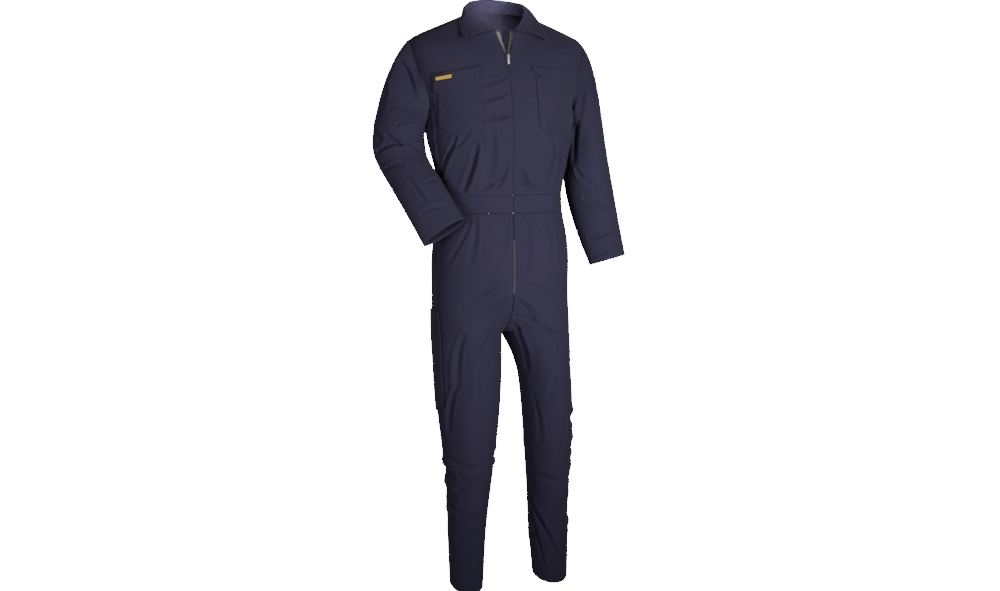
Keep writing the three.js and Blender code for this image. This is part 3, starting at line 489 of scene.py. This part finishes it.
def limb_guide(points, line, side):
    """Cloth places on a limb: angle from its front to its outside, mm down it, and the way out."""
    line = np.array(line)
    best = np.full(len(points), 1e9)
    down = np.zeros(len(points))
    centre = np.zeros_like(points)
    axis = np.zeros_like(points)
    so_far = 0.0
    for a, b in zip(line[:-1], line[1:]):
        way = b - a
        length = np.linalg.norm(way)
        along = np.clip((points - a) @ way / length**2, 0, 1)
        near = a + along[:, None] * way
        away = np.linalg.norm(points - near, axis=1)
        closer = away < best
        best[closer] = away[closer]
        down[closer] = (so_far + along * length)[closer]
        centre[closer] = near[closer]
        axis[closer] = way / length
        so_far += length
    out = points - centre
    out -= axis * (out * axis).sum(1)[:, None]
    out /= np.linalg.norm(out, axis=1)[:, None]
    front = np.array([0.0, -1.0, 0.0]) - axis * -axis[:, 1:2]
    front /= np.linalg.norm(front, axis=1)[:, None]
    across = np.array([side, 0.0, 0.0]) - axis * (side * axis[:, 0:1])
    across /= np.linalg.norm(across, axis=1)[:, None]
    angle = np.arctan2((out * across).sum(1), (out * front).sum(1))
    return angle, down / MM, out


def leg_guide(side, line):
    def guide(points):
        angle, _, out = limb_guide(points, line, side)
        return angle, LEG_RADIUS, points[:, 2] / MM, out

    return guide


def arm_guide(side, line):
    def guide(points):
        angle, down, out = limb_guide(points, line, side)
        return angle, ARM_RADIUS, down, out

    return guide


def press_creases(points, guide, creases, scale, fade=None):
    """Moves cloth in along troughs and a little out beside them."""
    angle, radius, height, out = guide(points)
    sunk = np.zeros(len(points))
    for c in creases:
        start = np.array([math.radians(c.from_angle) * radius, c.from_height])
        end = np.array([math.radians(c.to_angle) * radius, c.to_height])
        way = end - start
        middle = (math.radians(c.from_angle) + math.radians(c.to_angle)) / 2
        turned = (angle - middle + math.pi) % (2 * math.pi) - math.pi + middle
        place = np.stack([turned * radius, height], 1)
        along = (place - start) @ way / (way @ way)
        kept = np.clip(along, 0, 1)
        bend = BOW * np.linalg.norm(way) * np.sin(kept * math.pi)
        normal = np.array([-way[1], way[0]]) / np.linalg.norm(way)
        near = start + kept[:, None] * way + bend[:, None] * normal
        away = np.linalg.norm(place - near, axis=1)
        lip = np.where((place - near) @ normal > 0, *LIPS)
        taper = (0.35 + 0.65 * np.sin(np.pi * np.clip(0.12 + 0.8 * kept, 0, 1))) * c.depth
        width = c.width * (NARROW + (1 - NARROW) * kept)
        trough = np.exp(-((away / width) ** SHARPNESS))
        ridge = np.exp(-(((away - 1.8 * width) / (0.8 * width)) ** 2))
        sunk += taper * (trough - lip * ridge)
    if fade is not None:
        sunk *= fade(points)
    return points - out * (sunk * scale * MM)[:, None]


ARMHOLE_REACH = 9 * MM
ARMHOLE_GAP = 0.4 * MM


def close_armhole(points, bodies):
    """Eases the top of a sleeve up to the armhole edges of the body panels, to a fine seam."""
    edges = []
    for obj in bodies:
        rim, _ = rim_of(obj, None)
        edges.extend(rim)
    tree = KDTree(len(edges))
    for index, place in enumerate(edges):
        tree.insert(Vector(place), index)
    tree.balance()
    for index, point in enumerate(points):
        near, _, away = tree.find(Vector(point))
        if ARMHOLE_GAP < away < ARMHOLE_REACH:
            share = (1 - ARMHOLE_GAP / away) * (1 - away / ARMHOLE_REACH) ** 0.5
            points[index] += (np.array(near) - point) * share
    return points


def near_height(edge, reach):
    """A fade that goes to nothing towards a height, so that seams stay joined."""

    def fade(points):
        return np.clip(np.abs(points[:, 2] / MM - edge) / reach, 0, 1)

    return fade


def cloth_piece(node, levels, material, presses=()):
    """The shown piece for a panel: subdivided, creased and dressed in twill."""
    obj = panel_copy(node, node + "_cloth")
    smooth(obj, levels)
    points = points_of(obj)
    scale = bpy.context.scene.suit_cloth.crease_scale
    for guide, creases, fade in presses:
        points = press_creases(points, guide, creases, scale, fade)
    write_points(obj, points)
    obj.data.materials.append(material)
    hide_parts(node)
    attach(obj, GARMENT)
    SHOWN[node] = obj
    return obj


def surface_area(obj):
    """The area of one side of a wall, in square metres."""
    return sum(p.area for p in obj.data.polygons) / 2


def declare_sheet(obj, width, length):
    """Works out the smaller of the piece's area and its width times its length, and keeps neither."""
    min(surface_area(obj), width * length)


MATERIALS = {}


def material(key):
    """The material of a finish, made once."""
    cloth = bpy.context.scene.suit_cloth
    makers = {
        "twill": lambda: twill_material("Navy twill", cloth.navy),
        "thread": lambda: plain_material("Sewing thread", cloth.thread, 0.7),
        "tape": lambda: plain_material("Zip tape", (0.2, 0.2, 0.24), 0.8),
        "dark_tape": lambda: plain_material("Shaded zip tape", (0.05, 0.045, 0.05), 0.8),
        "teeth": lambda: plain_material("Brass teeth", (0.16, 0.12, 0.07), 0.4, 1.0),
        "bright_teeth": lambda: plain_material("Fly teeth", (0.09, 0.09, 0.11), 0.55, 1.0),
        "metal": lambda: plain_material("Slider metal", (0.22, 0.22, 0.24), 0.45, 1.0),
        "label": lambda: label_material("Woven label", cloth.label),
    }
    if key not in MATERIALS:
        MATERIALS[key] = makers[key]()
    return MATERIALS[key]


# Sewing


def rim_of(obj, way_out):
    """The outer rim of a wall: its middle points and the way in from each, in metres.

    With no way out given it takes the edges of both sides of the wall, and the way along them.
    """
    build = bmesh.new()
    build.from_mesh(obj.data)
    middles, inwards = [], []
    centres, alongs, faces = [], [], []
    for edge in build.edges:
        if len(edge.link_faces) != 2 or edge.calc_face_angle(0) < math.radians(50):
            continue
        for face in edge.link_faces:
            centres.append((edge.verts[0].co + edge.verts[1].co) / 2)
            alongs.append(edge.verts[1].co - edge.verts[0].co)
            faces.append((face.normal.copy(), face.calc_center_median()))
    if centres and way_out is None:
        middles, inwards = centres, alongs
    elif centres:
        out = way_out(np.array(centres))
        for middle, along, (normal, centre), o in zip(centres, alongs, faces, out):
            if normal.dot(Vector(o)) < 0.3:
                continue
            inward = normal.cross(along).normalized()
            if inward.dot(centre - middle) < 0:
                inward.negate()
            middles.append(middle)
            inwards.append(inward)
    build.free()
    return np.array(middles), np.array(inwards)


def chained(points, reach):
    """Puts loose points in order, each next to its nearest neighbour, as runs without jumps."""
    left = list(range(len(points)))
    runs = []
    while left:
        run = [left.pop(0)]
        for end in (-1, 0):
            while left:
                away = np.linalg.norm(points[left] - points[run[end]], axis=1)
                nearest = int(away.argmin())
                if away[nearest] > reach:
                    break
                index = left.pop(nearest)
                if end == -1:
                    run.append(index)
                else:
                    run.insert(0, index)
        runs.append(points[run])
    return [run for run in runs if len(run) > 3]


def evenly(run, pitch):
    """Places at equal steps along a run of points, and the way along it."""
    steps = np.linalg.norm(np.diff(run, axis=0), axis=1)
    far = np.concatenate([[0], np.cumsum(steps)])
    at = np.arange(pitch / 2, far[-1], pitch)
    places = np.stack([np.interp(at, far, run[:, k]) for k in range(3)], 1)
    ahead = np.stack([np.interp(at + pitch / 2, far, run[:, k]) for k in range(3)], 1)
    behind = np.stack([np.interp(at - pitch / 2, far, run[:, k]) for k in range(3)], 1)
    way = ahead - behind
    length = np.linalg.norm(way, axis=1)[:, None]
    return places, way / np.maximum(length, 1e-9)


BarTack = namedtuple("BarTack", "node x z turn length")
BAR_TACKS = [
    BarTack("trouser_front_right", -22, -624, 80, 11),
    BarTack("chest_pocket_left", 80, -180, -40, 9),
    BarTack("chest_pocket_right", -98, -200, 60, 9),
    BarTack("sleeve_left", 251, -317, 4, 13),
    BarTack("trouser_front_right", -30, -726, 60, 10),
    BarTack("waistband_left", 12, -484, 0, 8),
    BarTack("waistband_right", -12, -484, 0, 8),
]
TACK_PITCH = 0.9
TACK_WIDTH = 2.6


class Thread:
    """Collects stitches, then makes them one mesh of small prisms."""

    def __init__(self):
        self.points = []
        self.faces = []

    def stitch(self, place, way, normal, length, width):
        across = normal.cross(way).normalized() * (width / 2)
        along = way * (length / 2)
        lift = normal * (width * 0.55)
        first = len(self.points)
        for end in (-1, 1):
            middle = place + along * end
            self.points += [middle - across, middle + across, middle + lift - along * end * 0.3]
        for face in ((0, 1, 2), (3, 5, 4), (0, 3, 4, 1), (1, 4, 5, 2), (2, 5, 3, 0)):
            self.faces.append([first + i for i in face])

    def row(self, tree, run, scale=1.0):
        sewing = bpy.context.scene.suit_sewing
        places, ways = evenly(run, sewing.pitch * scale)
        for place, way in zip(places, ways):
            found, normal, _, _ = tree.find_nearest(Vector(place))
            if found is None:
                continue
            way = Vector(way)
            way = (way - normal * way.dot(normal)).normalized()
            self.stitch(found, way, normal, sewing.length * scale, sewing.width)

    def tack(self, tree, x, z, turn, length):
        """A bar tack: close stitches across a short bar, x across and z high, turned from level."""
        turn = math.radians(turn)
        for step in np.arange(-length / 2, length / 2, TACK_PITCH):
            at = Vector(((x + step * math.cos(turn)) * MM, -1, (z + step * math.sin(turn)) * MM))
            found, normal, _, _ = tree.ray_cast(at, Vector((0, 1, 0)))
            if found is None:
                raise RuntimeError(f"no cloth under the bar tack at {x}, {z}")
            way = Vector((-math.sin(turn), 0, math.cos(turn)))
            way = (way - normal * way.dot(normal)).normalized()
            self.stitch(found, way, normal, TACK_WIDTH * MM, TACK_PITCH * MM)

    def finish(self, name):
        mesh = bpy.data.meshes.new(name)
        mesh.from_pydata([tuple(p) for p in self.points], [], self.faces)
        obj = bpy.data.objects.new(name, mesh)
        bpy.context.scene.collection.objects.link(obj)
        obj.data.materials.append(material("thread"))
        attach(obj, GARMENT)
        return obj


def outer_tree(obj):
    return BVHTree.FromPolygons(
        [v.co.copy() for v in obj.data.vertices], [list(p.vertices) for p in obj.data.polygons]
    )


def sew_edges(thread, node, way_out, insets, where=None):
    """Rows of stitches along the edges of a panel, so many millimetres in from them."""
    obj = SHOWN[node]
    middles, inwards = rim_of(obj, way_out)
    tree = outer_tree(obj)
    kept = where(middles / MM) if where else np.ones(len(middles), bool)
    for inset in insets:
        row = middles[kept] + inwards[kept] * inset * MM
        if len(row) < 4:
            raise RuntimeError("no edge to sew on " + node)
        clear = [
            np.linalg.norm(middles - p, axis=1).min() > 0.9 * inset * MM for p in row
        ]
        gap = 4 * np.median(np.linalg.norm(np.diff(row, axis=0), axis=1).clip(0.5 * MM, 8 * MM))
        for run in chained(row[clear], max(gap, 6 * MM)):
            thread.row(tree, run)


SHOWN = {}
WAIST_TOP = -480
WAIST_FOOT = -528
TRUNK_PRESS = (trunk_guide, TRUNK_CREASES, near_height(WAIST_TOP, 12))
HIP_PRESS = (trunk_guide, HIP_CREASES, near_height(WAIST_FOOT, 14))
RIGHT_LEG_PRESS = (leg_guide(-1, RIGHT_LEG_LINE), RIGHT_LEG_CREASES, None)
LEFT_LEG_PRESS = (leg_guide(1, LEFT_LEG_LINE), LEFT_LEG_CREASES, None)
RIGHT_SLEEVE_PRESS = (arm_guide(-1, RIGHT_ARM_LINE), RIGHT_SLEEVE_CREASES, None)
LEFT_SLEEVE_PRESS = (arm_guide(1, LEFT_ARM_LINE), LEFT_SLEEVE_CREASES, None)


class SUIT_OT_upper_body(bpy.types.Operator):
    """The two fronts and the back"""

    bl_idname = "suit.upper_body"
    bl_label = "Upper body"

    def execute(self, context):
        for node, levels, width, length in [
            ("front_right", 3, 0.32, 0.5),
            ("front_left", 3, 0.32, 0.5),
            ("back", 2, 0.62, 0.54),
        ]:
            declare_sheet(cloth_piece(node, levels, material("twill"), [TRUNK_PRESS]), width, length)
        return {"FINISHED"}


class SUIT_OT_waistband(bpy.types.Operator):
    """The waistband pieces"""

    bl_idname = "suit.waistband"
    bl_label = "Waistband"

    def execute(self, context):
        for node, width in [("waistband_right", 0.25), ("waistband_left", 0.25), ("waistband_back", 0.5)]:
            declare_sheet(cloth_piece(node, 3, material("twill")), width, 0.049)
        return {"FINISHED"}


class SUIT_OT_trousers(bpy.types.Operator):
    """The trouser panels and hip pocket bearers"""

    bl_idname = "suit.trousers"
    bl_label = "Trousers"

    def execute(self, context):
        for name, press in [("right", RIGHT_LEG_PRESS), ("left", LEFT_LEG_PRESS)]:
            for node, levels in [("trouser_front_" + name, 3), ("trouser_back_" + name, 2)]:
                presses = [HIP_PRESS, press]
                declare_sheet(cloth_piece(node, levels, material("twill"), presses), 0.36, 1.08)
            declare_sheet(cloth_piece("hip_pocket_" + name, 2, material("twill"), [HIP_PRESS]), 0.12, 0.2)
        return {"FINISHED"}


class SUIT_OT_sleeves(bpy.types.Operator):
    """The two sleeves"""

    bl_idname = "suit.sleeves"
    bl_label = "Sleeves"

    def execute(self, context):
        for name, press in [("right", RIGHT_SLEEVE_PRESS), ("left", LEFT_SLEEVE_PRESS)]:
            bodies = [SHOWN["front_" + name], SHOWN["back"]]
            for node, levels, width, length in [
                ("sleeve_" + name, 3, 0.34, 0.66),
                ("under_sleeve_" + name, 2, 0.22, 0.6),
            ]:
                sleeve = cloth_piece(node, levels, material("twill"), [press])
                write_points(sleeve, close_armhole(points_of(sleeve), bodies))
                declare_sheet(sleeve, width, length)
        return {"FINISHED"}


class SUIT_OT_collar(bpy.types.Operator):
    """The folded collar"""

    bl_idname = "suit.collar"
    bl_label = "Collar"

    def execute(self, context):
        declare_sheet(cloth_piece("collar", 3, material("twill")), 0.55, 0.11)
        return {"FINISHED"}


class SUIT_OT_pockets(bpy.types.Operator):
    """Chest pockets, flaps and the tool pocket"""

    bl_idname = "suit.pockets"
    bl_label = "Pockets"

    def execute(self, context):
        for name in ("right", "left"):
            pocket = cloth_piece("chest_pocket_" + name, 2, material("twill"), [TRUNK_PRESS])
            declare_sheet(pocket, 0.14, 0.155)
            flap = cloth_piece("pocket_flap_" + name, 3, material("twill"))
            declare_sheet(flap, 0.16, 0.085)
        tool = cloth_piece("tool_pocket", 2, material("twill"), [HIP_PRESS, RIGHT_LEG_PRESS])
        declare_sheet(tool, 0.11, 0.285)
        return {"FINISHED"}


class SUIT_OT_label(bpy.types.Operator):
    """The bare woven label on the right flap"""

    bl_idname = "suit.label"
    bl_label = "Label"

    def execute(self, context):
        obj = cloth_piece("label", 2, material("label"))
        points = points_of(obj)
        low, high = points[:, 0].min(), points[:, 0].max()
        along = (points[:, 0] - low) / (high - low)
        slope = np.polyfit(points[:, 0], points[:, 2], 1)
        up = points[:, 2] - np.polyval(slope, points[:, 0])
        up = (up - up.min()) / (up.max() - up.min())
        uv = obj.data.uv_layers.get("label") or obj.data.uv_layers.new(name="label")
        for loop in obj.data.loops:
            uv.data[loop.index].uv = (along[loop.vertex_index], up[loop.vertex_index])
        declare_sheet(obj, 0.045, 0.012)
        return {"FINISHED"}


def metal_copy(node, body):
    """A welded copy of a metal piece with its edges softened."""
    mesh = NODES[node].data.copy()
    mesh.materials.clear()
    obj = bpy.data.objects.new(node + "_metal", mesh)
    bpy.context.scene.collection.objects.link(obj)
    activate(obj)
    bpy.ops.object.mode_set(mode="EDIT")
    bpy.ops.mesh.select_all(action="SELECT")
    bpy.ops.mesh.remove_doubles(threshold=0.01 * MM)
    bpy.ops.mesh.normals_make_consistent(inside=False)
    bpy.ops.mesh.tris_convert_to_quads()
    bpy.ops.object.mode_set(mode="OBJECT")
    softened = obj.modifiers.new("Bevel", "BEVEL")
    softened.width = 0.25 * MM
    softened.segments = 2
    softened.limit_method = "ANGLE"
    bpy.ops.object.modifier_apply(modifier=softened.name)
    bpy.ops.object.shade_smooth_by_angle(angle=math.radians(40))
    obj.data.materials.append(material("metal"))
    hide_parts(node)
    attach(obj, body)


def tooth():
    """One zip tooth: a small block with a narrower head, made once."""
    deselect()
    bpy.ops.mesh.primitive_cube_add(size=1, location=(0, 0, 0))
    made = bpy.context.object
    made.scale = (3.2 * MM, 1.5 * MM, 1.3 * MM)
    bpy.ops.object.transform_apply(scale=True)
    bpy.ops.object.mode_set(mode="EDIT")
    bpy.ops.mesh.select_all(action="SELECT")
    bpy.ops.mesh.bevel(offset=0.3 * MM, segments=1)
    bpy.ops.object.mode_set(mode="OBJECT")
    return made


def teeth(name, places, finish):
    """Copies of a tooth at (place, way along the row) pairs, as one piece."""
    first = tooth()
    copies = []
    for place, along in places:
        copy = bpy.data.objects.new(name, first.data.copy())
        copy.location = place
        copy.rotation_euler = Vector(along).to_track_quat("Z", "Y").to_euler()
        bpy.context.scene.collection.objects.link(copy)
        copies.append(copy)
    bpy.data.objects.remove(first)
    deselect()
    for copy in copies:
        copy.select_set(True)
    bpy.context.view_layer.objects.active = copies[0]
    bpy.ops.object.join()
    bpy.ops.object.transform_apply(location=True, rotation=True, scale=True)
    row = bpy.context.object
    row.name = name
    row.data.materials.append(material(finish))
    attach(row, GARMENT)


def open_teeth():
    """Two rows of brass teeth down the inner edges of the tapes, meeting at the slider."""
    pitch = 2.3 * MM
    for name, side in (("right", -1), ("left", 1)):
        tape = points_of(SHOWN["zip_tape_" + name])
        places = []
        for z in np.arange(tape[:, 2].min() + 8 * MM, tape[:, 2].max() - 2 * MM, pitch):
            near = tape[np.abs(tape[:, 2] - z) < 4 * MM]
            edge = near[np.argmin(side * near[:, 0])]
            places.append(((edge[0], edge[1] - 0.4 * MM, z), (0, 0, 1)))
        teeth("open_teeth_" + name, places, "teeth")


FLY_TEETH = {"top": -600, "foot": -742, "pitch": 2.6, "half": 0.7, "proud": 0.2}


def closed_teeth():
    """The short stretch of bright teeth that shows at the foot of the fly."""
    surface = outer_tree(SHOWN["trouser_front_left"])
    places = []
    for z in np.arange(FLY_TEETH["foot"], FLY_TEETH["top"], FLY_TEETH["pitch"]):
        for side in (-1, 1):
            x = side * FLY_TEETH["half"] * MM
            found, _, _, _ = surface.ray_cast(Vector((abs(x) + 1.2 * MM, -0.4, z * MM)), Vector((0, 1, 0)))
            offset = FLY_TEETH["pitch"] / 2 if side > 0 else 0
            places.append(((x, found.y - FLY_TEETH["proud"] * MM, (z + offset) * MM), (0, 0, 1)))
    teeth("fly_teeth", places, "bright_teeth")


class SUIT_OT_zip(bpy.types.Operator):
    """Tapes, teeth, slider and pull tab"""

    bl_idname = "suit.zip"
    bl_label = "Zip"

    def execute(self, context):
        for name, finish in [("right", "tape"), ("left", "dark_tape")]:
            tape = cloth_piece("zip_tape_" + name, 2, material(finish))
            declare_sheet(tape, 0.032, 0.075)
        open_teeth()
        closed_teeth()
        metal_copy("zip_slider", GARMENT)
        metal_copy("zip_pull", PULL)
        return {"FINISHED"}


# The middle of the upper body leans to the wearer's right, from none at the foot, in millimetres
LEAN = {"neck": -12, "foot": -330, "top": -57}


def lean(z):
    t = np.clip((z - LEAN["foot"]) / (LEAN["top"] - LEAN["foot"]), 0, 1)
    return LEAN["neck"] * t * t * (3 - 2 * t)


def near_centre(reach=16):
    return lambda p: np.abs(p[:, 0] - lean(p[:, 2])) < reach


def out_of(press):
    return lambda points: press[0](points)[3]


def at_cuff(press):
    """The edge of a sleeve at the wrist: the furthest down it."""

    def where(p):
        down = press[0](p * MM)[2]
        return down > down.max() - 60

    return where


def collar_out(points):
    """The way out of the fall of the collar: up and away from the neck."""
    out = points - np.array([-0.012, 0.0, -0.12])
    return out / np.linalg.norm(out, axis=1)[:, None]


class SUIT_OT_sewing(bpy.types.Operator):
    """Rows of stitches along the seams, edges and hems"""

    bl_idname = "suit.sewing"
    bl_label = "Sewing"

    def execute(self, context):
        trunk = out_of(TRUNK_PRESS)
        upper = Thread()
        for name in ("right", "left"):
            front = "front_" + name
            sew_edges(upper, front, trunk, [2, 14], lambda p: near_centre(34)(p) & (p[:, 2] < -60))
            sew_edges(upper, front, trunk, [2, 8], lambda p: (np.abs(p[:, 0]) > 100) & (p[:, 2] > -285))
            sew_edges(upper, front, trunk, [2], lambda p: p[:, 2] < -470)
            sew_edges(upper, "waistband_" + name, trunk, [2])
            sew_edges(upper, "pocket_flap_" + name, trunk, [1.6, 8])
            sew_edges(upper, "chest_pocket_" + name, trunk, [1.6, 7], lambda p: p[:, 2] < -175)
        for tack in BAR_TACKS:
            upper.tack(outer_tree(SHOWN[tack.node]), *tack[1:])
        sew_edges(upper, "back", trunk, [2, 8], lambda p: p[:, 2] > -285)
        sew_edges(upper, "waistband_back", trunk, [2])
        upper.finish("upper_stitches")
        lower = Thread()
        for name, press, hem in [("right", RIGHT_LEG_PRESS, -1530), ("left", LEFT_LEG_PRESS, -1520)]:
            leg = out_of(press)
            front, back = "trouser_front_" + name, "trouser_back_" + name
            sew_edges(lower, front, trunk, [2, 14], lambda p: near_centre(14)(p) & (p[:, 2] > -745))
            sew_edges(lower, front, trunk, [3, 9], lambda p: (np.abs(p[:, 0]) > 95) & (p[:, 2] > -704))
            sew_edges(lower, back, leg, [2, 8], lambda p: (p[:, 2] < -540) & (p[:, 2] > hem))
            for panel in (front, back):
                sew_edges(lower, panel, leg, [22], lambda p: p[:, 2] < hem)
        sew_edges(lower, "tool_pocket", out_of(RIGHT_LEG_PRESS), [1.6, 7])
        lower.finish("lower_stitches")
        arms = Thread()
        for name, press in [("right", RIGHT_SLEEVE_PRESS), ("left", LEFT_SLEEVE_PRESS)]:
            for panel in ("sleeve_" + name, "under_sleeve_" + name):
                sew_edges(arms, panel, out_of(press), [22], at_cuff(press))
        sew_edges(arms, "collar", collar_out, [4])
        arms.finish("sleeve_and_collar_stitches")
        return {"FINISHED"}


# Each lamp: its place and where it points in metres, its size, the spread of its light in degrees, its power
Lamp = namedtuple("Lamp", "name place target size spread power")
LAMPS = [
    Lamp("key", (0.85, -2.7, -0.7), (0, 0, -0.46), 0.8, 55, 6.5),
    Lamp("fill", (-2.6, -2.2, -0.5), (0, 0, -0.46), 1.2, 55, 3.0),
    Lamp("neck", (-0.3, -1.5, 0.62), (-0.012, 0.06, 0.0), 0.1, 7, 0.12),
]


class SUIT_OT_stage(bpy.types.Operator):
    """Floor, lights and camera"""

    bl_idname = "suit.stage"
    bl_label = "Stage"

    def execute(self, context):
        stage = context.scene.suit_stage
        deselect()
        bpy.ops.mesh.primitive_plane_add(size=24, location=(0, 0, stage.floor_z))
        floor = context.object
        floor.name = "floor"
        floor.data.materials.append(white_to_camera("Pale floor"))
        context.scene.world = studio_world(stage.backdrop, stage.ambient)
        for name, place, target, size, spread, power in LAMPS:
            light = bpy.data.lights.new(name, "AREA")
            light.size = size
            light.spread = math.radians(spread)
            light.energy = power
            lamp = bpy.data.objects.new(name, light)
            lamp.location = place
            lamp.rotation_euler = (Vector(target) - Vector(place)).to_track_quat("-Z", "Y").to_euler()
            context.scene.collection.objects.link(lamp)
        look = Vector((0, 0, -0.76))
        away = Vector((
            math.sin(stage.azimuth) * math.cos(stage.elevation),
            -math.cos(stage.azimuth) * math.cos(stage.elevation),
            math.sin(stage.elevation),
        ))
        lens = bpy.data.cameras.new("Camera")
        lens.lens = stage.lens
        camera = bpy.data.objects.new("Camera", lens)
        camera.location = look + away * stage.distance
        camera.rotation_euler = (-away).to_track_quat("-Z", "Y").to_euler()
        context.scene.collection.objects.link(camera)
        context.scene.camera = camera
        return {"FINISHED"}


class SUIT_PT_panel(bpy.types.Panel):
    """Lists the steps that dress the suit"""

    bl_label = "Boiler suit"
    bl_idname = "SUIT_PT_panel"
    bl_space_type = "VIEW_3D"
    bl_region_type = "UI"
    bl_category = "Suit"

    def draw(self, context):
        for group in ("suit_cloth", "suit_sewing", "suit_stage"):
            settings = getattr(context.scene, group)
            for name in settings.__annotations__:
                self.layout.prop(settings, name)
        for operator in OPERATORS:
            self.layout.operator(operator.bl_idname)


GROUPS = {"suit_cloth": SuitCloth, "suit_sewing": SuitSewing, "suit_stage": SuitStage}
OPERATORS = (
    SUIT_OT_upper_body,
    SUIT_OT_waistband,
    SUIT_OT_trousers,
    SUIT_OT_sleeves,
    SUIT_OT_collar,
    SUIT_OT_pockets,
    SUIT_OT_label,
    SUIT_OT_zip,
    SUIT_OT_sewing,
    SUIT_OT_stage,
)


def register():
    for name, group in GROUPS.items():
        bpy.utils.register_class(group)
        setattr(bpy.types.Scene, name, bpy.props.PointerProperty(type=group))
    for made in (*OPERATORS, SUIT_PT_panel):
        bpy.utils.register_class(made)


def unregister():
    for made in (SUIT_PT_panel, *reversed(OPERATORS)):
        bpy.utils.unregister_class(made)
    for name, group in GROUPS.items():
        delattr(bpy.types.Scene, name)
        bpy.utils.unregister_class(group)


def main():
    register()
    for operator in OPERATORS:
        group, name = operator.bl_idname.split(".")
        getattr(getattr(bpy.ops, group), name)()


if __name__ == "__main__":
    main()
